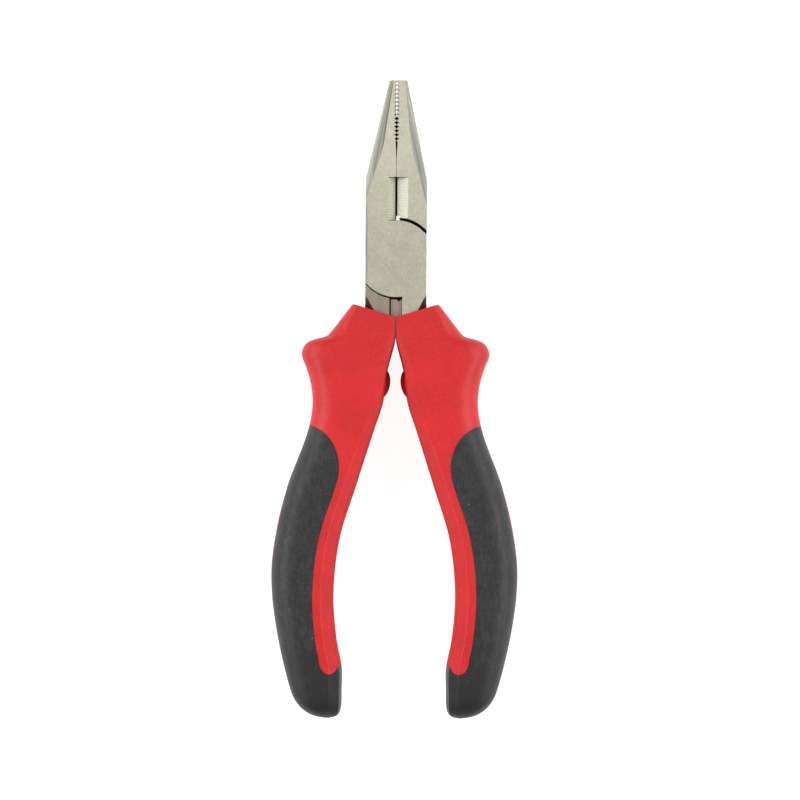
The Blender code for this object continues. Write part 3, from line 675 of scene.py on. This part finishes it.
def cutterNotch():
    # a small pointed hole at the cutter's foot, leaning so that it stays open to the photo's view
    top, foot = notch["top"], notch["foot"]
    rings = []
    for level, shift in ((notch["reach"], 0.0), (-notch["reach"], notch["lean"])):
        corners = ((notch["left"], top), (notch["point"], foot), (notch["right"], top))
        rings.append([pivot + Vector((a, b + shift, level)) for a, b in corners])
    return skinFromRings("cutterNotch", rings)


pocket = {
    "low": 0.0095, "high": 0.0102, "wide": 0.00195, "edge": 0.00026, "land": 0.0032, "face": 0.00485,
    "over": 0.0003, "past": 0.0002,
}


def pocketFoot(side):
    # carries the bevel of one half down past the cutter's foot
    land, over, past = pocket["land"], pocket["face"] + pocket["over"], pocket["past"]
    slope = (pocket["wide"] - pocket["edge"]) / (pocket["face"] - land)
    outline = [(-pocket["wide"] - pocket["over"] * slope, over), (-pocket["edge"], land)]
    outline = [(side * a, side * b) for a, b in outline + [(past, land), (past, over)]]
    return lengthPrism("pocketFoot", outline, pocket["low"], pocket["high"])


def deepenTeeth(piece):
    for vert in piece.data.vertices:
        spot = vert.co - pivot
        if spot.y > forging["teethEnd"] and abs(spot.x) < forging["teethHalf"]:
            vert.co.x = pivot.x + spot.x * forging["teethGrow"]


def edgeIsGround(edge):
    # outline edges of the flat faces, apart from the nose and the rivet's seat
    if len(edge.link_faces) != 2 or edge.calc_length() < forging["shortestEdge"]:
        return False
    steep, level = sorted(abs(face.normal.z) for face in edge.link_faces)
    middle = (edge.verts[0].co + edge.verts[1].co) / 2 - pivot
    atRivet = math.hypot(middle.x, middle.y) < forging["seat"]
    onHead = forging["headEnd"] < middle.y < forging["noseStart"]
    return steep < forging["wallUp"] and level > forging["faceUp"] and onHead and not atRivet


def roundEdges(piece, chosen, width, segments):
    makeActive(piece)
    bpy.ops.object.mode_set(mode="EDIT")
    bpy.ops.mesh.select_mode(type="EDGE")
    bpy.ops.mesh.select_all(action="DESELECT")
    shape = bmesh.from_edit_mesh(piece.data)
    for edge in shape.edges:
        edge.select_set(chosen(edge))
    bmesh.update_edit_mesh(piece.data)
    bpy.ops.mesh.bevel(offset=width, segments=segments, affect="EDGES", clamp_overlap=False)
    bpy.ops.object.mode_set(mode="OBJECT")


def taperCut(side):
    # takes off the corner where the nose's taper starts, in a long curve
    start, blend = forging["taperStart"], forging["taperBlend"]
    slope = (forging["faceHalf"] - forging["tipHalf"]) / (forging["taperEnd"] - start)
    outline = []
    for past in np.linspace(-1, 1, forging["taperSteps"]) * blend:
        level = forging["faceHalf"] - slope * (past + blend) ** 2 / (4 * blend) - forging["skim"]
        outline.append((pivot.y + start + past, pivot.z + side * level))
    over = pivot.z + side * (forging["faceHalf"] + forging["over"])
    outline += [(outline[-1][0], over), (outline[0][0], over)]
    return sidePrism("taperCut", outline, -forging["reach"], forging["reach"])


def makeForging(node, name, side, extras, cuts):
    piece = bpy.data.objects.new(name, nodes[node].data.copy())
    bpy.context.scene.collection.objects.link(piece)
    mergeClose(piece, forging["merge"])
    deepenTeeth(piece)
    for extra in [seamWedge("knifeEdge", side, knife), seamWedge("slitEdge", side, slit)] + extras:
        carve(piece, "UNION", extra)
    for cut in cuts + [taperCut(1), taperCut(-1)]:
        carve(piece, "DIFFERENCE", cut)
    makeActive(piece)
    bpy.ops.object.mode_set(mode="EDIT")
    bpy.ops.mesh.select_all(action="SELECT")
    bpy.ops.mesh.dissolve_limited(angle_limit=math.radians(forging["flatAngle"]))
    bpy.ops.object.mode_set(mode="OBJECT")
    cleanMesh(piece, 2 * forging["merge"])
    roundEdges(piece, edgeIsGround, forging["edgeRound"], forging["edgeSegments"])
    cleanMesh(piece, forging["merge"])
    shadeByAngle(piece, forging["smoothAngle"])
    flats = piece.modifiers.new("flatShading", "WEIGHTED_NORMAL")
    flats.keep_sharp = True
    makeActive(piece)
    bpy.ops.object.modifier_apply(modifier=flats.name)
    return piece


frontForging = makeForging("front_jaw_half", "frontForging", -1, [], [pocketFoot(1)])
backForging = makeForging("back_jaw_half", "backForging", 1, webLips(), [cutterNotch(), pocketFoot(-1)])
finishPiece(frontForging, "front_half", "forged_steel", steelFinish, "front_jaw_half")
finishPiece(backForging, "back_half", "forged_steel", steelFinish, "back_jaw_half")


# rivet, ground flush on both faces

rivet = {
    "head": 0.00424, "shank": 0.00300, "face": 0.00485, "seat": 0.00365, "steps": 96, "smoothAngle": 30,
}


def makeRivet():
    turn = np.linspace(0, 2 * math.pi, rivet["steps"], endpoint=False)
    rings = []
    for side, radius in ((-1, "head"), (-1, "shank"), (1, "shank"), (1, "head")):
        size, height = rivet[radius], side * rivet["face" if radius == "head" else "seat"]
        rings.append([pivot + Vector((size * math.cos(a), size * math.sin(a), height)) for a in turn])
    piece = skinFromRings("pivotRivet", rings)
    shadeByAngle(piece, rivet["smoothAngle"])
    return piece


finishPiece(makeRivet(), "front_half", "rivet_steel", steelFinish, "pivot_rivet")


# grips

grip = {
    "collarDrop": 0.0145, "collarRise": 0.0032, "collarReach": 0.01095, "collarHalf": 0.0060, "seam": 0.00001,
    "guardTop": 0.0188, "guardDrop": 0.0241, "guardReach": 0.0236, "guardHeight": 0.0063,
    "waistDrop": 0.0361, "waistReach": 0.0208, "waistInner": 0.0031, "waistHalf": 0.0073,
    "bellyDrop": 0.079, "bellyReach": 0.031, "bellyInner": 0.0152, "bellyHalf": 0.0079,
    "tailReach": 0.0261, "tailInner": 0.0131, "tailHalf": 0.0061, "endDrop": 0.115, "settleDrop": 0.045,
    "collarRound": 0.0016, "sideRound": 0.0062, "rimRound": 0.00025, "rimSteps": 5, "tailLength": 0.0072,
    "facet": 0.0032, "facetDrop": 0.0007, "facetStart": 0.20, "bead": 0.00004, "beadRoom": 0.0034,
    "facetShare": 0.30, "sideShare": 0.50, "sideSpread": 1.12, "beadEnd": (-0.004, 0.003),
    "guardMargin": 0.0010, "widenedPast": 0.020, "merge": 0.000012, "smoothAngle": 38,
}
# how the profile grows: its share at the collar, what the guard adds and what the waist adds
growth = {"facet": (0.20, 0.48, 0.32), "facetDrop": (0.12, 0.30, 0.58), "bead": (0.0, 0.25, 0.75)}
# powers of the profile's curves, and where its points lie along the facet and the flat
curve = {"flank": 2.2, "level": 0.85, "side": 0.8, "facetPlaces": (0.30, 0.60, 0.85), "flatStart": 0.12}
# across the bead at the facet's edge: place, and share of the bead's height by which it lies lower
beadProfile = ((-0.00012, 1.0), (-0.00004, 0.25), (0.0, 0.0), (0.00008, 0.1), (0.00018, 0.7), (0.00034, 0.5))
sleeve = {
    "strip": 0.0051, "stripIn": 0.0001, "stripFull": (0.055, 0.072),
    "stripEnd": 0.0113, "stripEndRound": 0.0039, "stripEndAngles": (360, 210),
    "topDrop": 0.0417, "topRise": 0.0105, "topReach": 0.0085, "leanDrops": (0.003, 0.005),
    "topSteps": 34, "edgeSteps": 48, "endSteps": 26, "wall": 0.0018, "endWall": 0.0035,
    "windowDrop": 0.071, "windowLength": 0.028, "windowHeight": 0.0056, "windowWalls": 2.2, "windowSteps": 20,
    "inlayDrop": 0.00005, "gap": 0.00003, "cutLevels": (-0.02, 0.04), "cutLow": -0.2,
}
shank = {"inner": 0.0014, "outer": 0.00785, "low": 0.0172, "half": 0.00505}
nub = {
    "drop": 0.0312, "length": 0.0078, "height": 0.0011, "root": 0.0012, "tall": 1.0, "lean": 0.17,
    "segments": 48, "rings": 32,
}

tailDrop = grip["endDrop"] - grip["tailLength"]
waistMid = (grip["waistDrop"] + grip["bellyDrop"]) / 2
innerEdge = smoothEdge([
    (grip["collarDrop"], grip["seam"]),
    (grip["collarDrop"] + 0.0052, grip["seam"]),
    (grip["guardDrop"] + 0.0040, 0.0020),
    (grip["waistDrop"], grip["waistInner"]),
    (grip["waistDrop"] + 0.0065, grip["waistInner"] + 0.0021),
    (waistMid, (grip["waistInner"] + grip["bellyInner"]) / 2 + 0.0008),
    (grip["bellyDrop"] - 0.0088, grip["bellyInner"] - 0.0014),
    (grip["bellyDrop"] + 0.0050, grip["bellyInner"] + 0.0001),
    (grip["endDrop"] - 0.0197, grip["tailInner"] + 0.0014),
    (grip["endDrop"] - 0.0122, grip["tailInner"]),
    (tailDrop, grip["tailInner"]),
    (grip["endDrop"] - 0.0021, grip["tailInner"] + 0.0002),
    (grip["endDrop"] - 0.0006, grip["tailInner"] + 0.0009),
    (grip["endDrop"] - 0.0001, grip["tailInner"] + 0.0020),
    (grip["endDrop"], grip["tailInner"] + 0.0037),
])
outerEdge = smoothEdge([
    (grip["collarDrop"] - grip["collarRise"], grip["collarReach"]),
    (grip["guardTop"] - 0.0007, grip["guardReach"] - grip["guardHeight"] - 0.0011),
    (grip["guardTop"] + 0.0004, grip["guardReach"] - grip["guardHeight"]),
    (grip["guardTop"] + 0.0013, grip["guardReach"] - grip["guardHeight"] / 2),
    (grip["guardTop"] + 0.0022, grip["guardReach"] - 0.0013),
    (grip["guardTop"] + 0.0036, grip["guardReach"] - 0.0003),
    (grip["guardDrop"], grip["guardReach"]),
    (grip["guardDrop"] + 0.0035, grip["guardReach"] - 0.0013),
    (grip["waistDrop"] - 0.0050, grip["waistReach"] + 0.0005),
    (grip["waistDrop"], grip["waistReach"]),
    (grip["waistDrop"] + 0.0065, grip["waistReach"] + 0.0010),
    (waistMid, (grip["waistReach"] + grip["bellyReach"]) / 2 + 0.0013),
    (grip["bellyDrop"] - 0.0113, grip["bellyReach"] - 0.0013),
    (grip["bellyDrop"], grip["bellyReach"]),
    (grip["endDrop"] - 0.0222, grip["tailReach"] + 0.0035),
    (tailDrop, grip["tailReach"]),
    (grip["endDrop"] - 0.0045, grip["tailReach"] - 0.0011),
    (grip["endDrop"] - 0.0021, grip["tailReach"] - 0.0030),
    (grip["endDrop"] - 0.0006, grip["tailReach"] - 0.0054),
    (grip["endDrop"] - 0.0001, grip["tailReach"] - 0.0074),
    (grip["endDrop"], grip["tailReach"] - 0.0091),
])
halfThickness = smoothEdge([
    (grip["collarDrop"], grip["collarHalf"]),
    (grip["guardTop"] + 0.0010, grip["collarHalf"] + 0.0002),
    (grip["guardDrop"] + 0.0015, grip["bellyHalf"]),
    (grip["guardDrop"] + 0.0060, grip["bellyHalf"]),
    (grip["waistDrop"] + 0.0080, grip["waistHalf"]),
    (grip["bellyDrop"] - 0.0100, grip["bellyHalf"]),
    (grip["bellyDrop"] + 0.0050, grip["bellyHalf"]),
    (tailDrop, grip["tailHalf"]),
    (grip["endDrop"] - 0.0030, grip["tailHalf"] - 0.0008),
    (grip["endDrop"] - 0.0010, grip["tailHalf"] - 0.0022),
    (grip["endDrop"], grip["tailHalf"] - 0.0038),
])
ringCount = {"collar": 9, "guard": 24, "body": 56, "tail": 16}
flankSteps, flatSteps, sideSteps = 9, 7, 14


def ringDrops():
    guardStart = grip["guardTop"] + grip["collarRise"] - grip["guardMargin"]
    guardEnd = grip["guardDrop"] + grip["collarRise"] + grip["guardMargin"]
    turn = np.sin(np.linspace(0, math.pi / 2, ringCount["tail"] + 1))
    return np.concatenate([
        np.linspace(grip["collarDrop"], guardStart, ringCount["collar"], endpoint=False),
        np.linspace(guardStart, guardEnd, ringCount["guard"], endpoint=False),
        np.linspace(guardEnd, tailDrop, ringCount["body"], endpoint=False),
        tailDrop + (grip["endDrop"] - tailDrop) * turn,
    ])


def gripProfile(inner, outer, level, side, facet, step, bead):
    # flat face, slanted facet along the inner edge with a bead where it ends, full round on the outer side
    start, flat = grip["facetStart"], outer - inner - facet - side
    upper = []
    for share in np.linspace(0, 1, flankSteps):
        upper.append((inner + start * facet * share ** curve["flank"], (level - step) * share))
    for share in curve["facetPlaces"]:
        lowered = step * (1 - share)
        upper.append((inner + facet * (start + (1 - start) * share), level - lowered - bead * share))
    pinch = min(1.0, flat / grip["beadRoom"])
    for offset, sink in beadProfile:
        lean = pinch * min(0.0, offset) * step / facet
        upper.append((inner + facet + pinch * offset, level - sink * bead + lean))
    for share in np.linspace(curve["flatStart"], 1, flatSteps, endpoint=False):
        upper.append((inner + facet + flat * share, level))
    for angle in np.linspace(0, math.pi / 2, sideSteps + 1):
        drawnIn = level * max(0.0, math.cos(angle)) ** curve["level"]
        upper.append((outer - side + side * math.sin(angle) ** curve["side"], drawnIn))
    upper[-1] = (outer, 0.0)
    return upper + [(x, -z) for x, z in reversed(upper[1:-1])]


def gripRing(drop, inset):
    settled = smoothStep(drop, grip["guardDrop"] + grip["collarRise"], grip["settleDrop"])
    outerDrop = drop - grip["collarRise"] * (1 - settled)
    inner, outer = max(grip["seam"], valueAt(innerEdge, drop)), valueAt(outerEdge, outerDrop)
    level = min(grip["bellyHalf"], valueAt(halfThickness, drop))
    width = outer - inner
    grown = smoothStep(drop, grip["collarDrop"], grip["guardDrop"] + grip["collarRise"])
    widened = smoothStep(drop, grip["guardDrop"], grip["waistDrop"] + grip["widenedPast"])
    ended = smoothStep(drop, *[tailDrop + past for past in grip["beadEnd"]])
    side = grip["collarRound"] + (grip["sideRound"] - grip["collarRound"]) * grown
    side = min(grip["sideSpread"] * side, grip["sideShare"] * width)
    size = {}
    for name, (collar, guard, waist) in growth.items():
        size[name] = grip[name] * (collar + guard * grown + waist * widened)
    facet = min(size["facet"], grip["facetShare"] * width)
    bead = size["bead"] * (1 - ended)
    middle = (inner + outer) / 2
    ring = []
    for x, z in gripProfile(inner, outer, level, side, facet, size["facetDrop"], bead):
        y = -drop + (drop - outerDrop) * (x - inner) / width
        narrowed = middle + (x - middle) * (1 - 2 * inset / width)
        ring.append(pivot + Vector((narrowed, y, z * (1 - inset / level))))
    return ring


def gripSkin(name, inset=0.0, end=None, rimRound=0.0):
    # the collar's rim is rounded off by a few rings that grow to full size
    end = end or grip["endDrop"]
    drops = [drop for drop in ringDrops() if drop < end - 1e-6] + [end]
    rings = [gripRing(drop, inset) for drop in drops]
    if rimRound:
        rim = []
        for turn in np.linspace(0, math.pi / 2, grip["rimSteps"]):
            drop, lessened = rimRound * (1 - math.cos(turn)), rimRound * (1 - math.sin(turn))
            rim.append(gripRing(drops[0] + drop, inset + lessened))
        rings = rim + rings[1:]
    return skinFromRings(name, rings)


def stripEdge(drop, grow):
    narrowed = sleeve["stripIn"] * (1 - smoothStep(drop, *sleeve["stripFull"]))
    return valueAt(innerEdge, drop) + sleeve["strip"] - narrowed - grow


def sleeveOutline(grow):
    # in plan: the outer side from the top arc down, the inner strip's edge, and the whole tail
    reach, rise = sleeve["topReach"] + grow, sleeve["topRise"] + grow
    top = sleeve["topDrop"] + sleeve["topRise"]
    low = grip["endDrop"] - sleeve["stripEnd"] - sleeve["stripEndRound"]
    near, away = sleeve["leanDrops"]
    lean = (stripEdge(top + away, 0) - stripEdge(top + near, 0)) / (away - near)
    turn = math.atan(lean * rise / reach)
    join = top + rise * math.sin(turn)
    centre = stripEdge(join, grow) + reach * math.cos(turn)
    outline = arc((centre, -top), (reach, rise), 90, 180 + math.degrees(turn), sleeve["topSteps"])
    outline += [(stripEdge(drop, grow), -drop) for drop in np.linspace(join, low, sleeve["edgeSteps"])[1:]]
    radii = (sleeve["strip"] / 2 - grow, sleeve["stripEndRound"] - grow)
    centre = stripEdge(low, 0) - sleeve["strip"] / 2
    outline += arc((centre, -low), radii, *sleeve["stripEndAngles"], sleeve["endSteps"])[1:]
    inside, far, below = outline[-1][1], 2 * grip["bellyReach"], sleeve["cutLow"]
    return moved(outline + [(0.0, inside), (0.0, below), (far, below), (far, outline[0][1])])


def windowPrism(name, shrink):
    radius, steps = sleeve["windowHeight"] / 2 - shrink, sleeve["windowSteps"]
    straight = (sleeve["windowLength"] - sleeve["windowHeight"]) / 2
    centre = pivot.y - sleeve["windowDrop"]
    outline = arc((centre + straight, pivot.z), (radius, radius), -90, 90, steps)
    outline += arc((centre - straight, pivot.z), (radius, radius), 90, 270, steps)
    drops = [sleeve["windowDrop"] + side * sleeve["windowLength"] / 2 for side in (-1, 0, 1)]
    low = min(valueAt(outerEdge, drop) for drop in drops)
    return sidePrism(name, outline, low - sleeve["windowWalls"] * sleeve["wall"], 2 * grip["bellyReach"])


def makeNub():
    deselectAll()
    about = {"segments": nub["segments"], "ring_count": nub["rings"], "radius": nub["length"] / 2}
    bpy.ops.mesh.primitive_uv_sphere_add(**about)
    dome = bpy.context.object
    dome.name = "nubDome"
    squeeze = Matrix.Diagonal(((nub["height"] + nub["root"]) / (nub["length"] / 2), 1, nub["tall"], 1))
    lean = Matrix.Rotation(nub["lean"], 4, "Z")
    centre = pivot + Vector((valueAt(innerEdge, nub["drop"]) + nub["root"], -nub["drop"], 0))
    dome.data.transform(Matrix.Translation(centre) @ lean @ squeeze)
    return dome


def shankRoom():
    inner, outer, low, half = shank["inner"], shank["outer"], -shank["low"], shank["half"]
    outline = [(inner, 0.0), (outer, 0.0), (outer, low), (inner, low)]
    return planPrism("shankRoom", moved(outline), pivot.z - half, pivot.z + half)


def makeCore():
    wall, end = sleeve["wall"] + sleeve["gap"], grip["endDrop"] - sleeve["endWall"] - sleeve["gap"]
    core = gripSkin("rightGripCore", rimRound=grip["rimRound"])
    room = planPrism("sleeveRoom", sleeveOutline(sleeve["gap"]), *sleeve["cutLevels"])
    carve(room, "DIFFERENCE", gripSkin("coreSkin", wall, end))
    inlay = windowPrism("windowInlay", sleeve["gap"])
    carve(inlay, "INTERSECT", gripSkin("inlaySkin", sleeve["inlayDrop"]))
    carve(core, "DIFFERENCE", room)
    carve(core, "UNION", inlay)
    carve(core, "UNION", makeNub())
    carve(core, "DIFFERENCE", shankRoom())
    return core


def makeSleeve():
    cover = gripSkin("rightGripSleeve")
    carve(cover, "INTERSECT", planPrism("sleeveCover", sleeveOutline(0.0), *sleeve["cutLevels"]))
    carve(cover, "DIFFERENCE", gripSkin("coreRoom", sleeve["wall"], grip["endDrop"] - sleeve["endWall"]))
    carve(cover, "DIFFERENCE", windowPrism("windowCut", 0.0))
    return cover


def turnedOver(piece, name):
    # the left grip is the right one turned over about the long axis
    copy = bpy.data.objects.new(name, piece.data.copy())
    bpy.context.scene.collection.objects.link(copy)
    about = Matrix.Translation(pivot) @ Matrix.Rotation(math.pi, 4, "Y") @ Matrix.Translation(-pivot)
    copy.data.transform(about)
    return copy


rightCore, rightSleeve = makeCore(), makeSleeve()
for piece in (rightCore, rightSleeve):
    cleanMesh(piece, grip["merge"])
    shadeByAngle(piece, grip["smoothAngle"])
leftCore, leftSleeve = turnedOver(rightCore, "leftGripCore"), turnedOver(rightSleeve, "leftGripSleeve")
finishPiece(rightCore, "front_half", "red_plastic", redFinish, "right_grip_core")
finishPiece(rightSleeve, "front_half", "black_rubber", blackFinish, "right_grip_sleeve")
finishPiece(leftCore, "back_half", "red_plastic", redFinish, "left_grip_core")
finishPiece(leftSleeve, "back_half", "black_rubber", blackFinish, "left_grip_sleeve")


# floor, light and camera

studio = {"floorSize": 3.0, "floorColor": 0.32, "floorRough": 0.9, "floorGlow": 0.90, "world": 0.14}
lamps = {
    "overhead": {"spot": (0.0, 0.0, 1.70), "size": (1.5, 1.5), "power": 4.4},
    "behind": {"spot": (0.0, 1.15, 1.40), "size": (1.6, 0.9), "power": 1.8},
    "left": {"spot": (-0.87, 0.12, 0.62), "size": (1.8, 0.57), "power": 9.6},
    "right": {"spot": (0.87, 0.12, 0.62), "size": (1.8, 0.57), "power": 9.6},
    "lowLeft": {"spot": (-1.03, 0.12, 0.24), "size": (1.8, 0.28), "power": 4.8, "mirrored": False},
    "lowRight": {"spot": (1.03, 0.12, 0.24), "size": (1.8, 0.28), "power": 4.8, "mirrored": False},
}


def makeFloor():
    deselectAll()
    bpy.ops.mesh.primitive_plane_add(size=studio["floorSize"], location=(0, 0, 0))
    floor = bpy.context.object
    floor.name = "studioFloor"
    paper = Finish("floorPaper")
    paper.set(color=(studio["floorColor"],) * 3, roughness=studio["floorRough"], specular=0.0)
    rays = paper.add("ShaderNodeLightPath", {}, {})
    seen = Wire(paper, rays.outputs["Is Camera Ray"]) + Wire(paper, rays.outputs["Is Glossy Ray"])
    seen = seen + Wire(paper, rays.outputs["Is Transmission Ray"])
    strength = seen * studio["floorGlow"]
    glow = paper.add("ShaderNodeEmission", {}, {"Color": (1, 1, 1, 1), "Strength": strength})
    both = paper.add("ShaderNodeAddShader", {}, {0: paper.shader.outputs[0], 1: glow.outputs[0]})
    output = paper.tree.nodes["Material Output"]
    paper.tree.links.new(both.outputs[0], output.inputs["Surface"])
    floor.data.materials.append(paper.material)


def addLamp(name, about):
    lamp = bpy.data.lights.new(name, "AREA")
    lamp.shape = "RECTANGLE"
    lamp.size, lamp.size_y = about["size"]
    lamp.energy = about["power"]
    holder = bpy.data.objects.new(name, lamp)
    bpy.context.scene.collection.objects.link(holder)
    holder.location = about["spot"]
    holder.visible_glossy = about.get("mirrored", True)
    aim = Vector((0, 0, 0)) - Vector(about["spot"])
    holder.rotation_euler = aim.to_track_quat("-Z", "Y").to_euler()


def makeWorld():
    world = bpy.data.worlds.new("studioAir")
    world.use_nodes = True
    air = world.node_tree.nodes["Background"]
    air.inputs["Color"].default_value = (1, 1, 1, 1)
    air.inputs["Strength"].default_value = studio["world"]
    bpy.context.scene.world = world


def makeCamera():
    span = photo["width"] * photo["metresPerPixel"]
    lens = bpy.data.cameras.new("photoCamera")
    lens.sensor_width = photo["sensor"]
    lens.lens = photo["sensor"] * photo["eyeAway"] / span
    lens.clip_end = 20.0
    eye = bpy.data.objects.new("photoCamera", lens)
    bpy.context.scene.collection.objects.link(eye)
    half = photo["width"] / 2
    midX = (half - photo["midX"]) * photo["metresPerPixel"]
    midY = (photo["midY"] - half) * photo["metresPerPixel"]
    eye.location = (midX, midY, pivot.z + photo["eyeAway"])
    eye.rotation_euler = (0, 0, math.radians(-photo["roll"]))
    bpy.context.scene.camera = eye


makeFloor()
makeWorld()
for lampName, lampAbout in lamps.items():
    addLamp(lampName + "Softbox", lampAbout)
makeCamera()
bpy.context.scene.view_settings.view_transform = "Standard"
print("stage set")
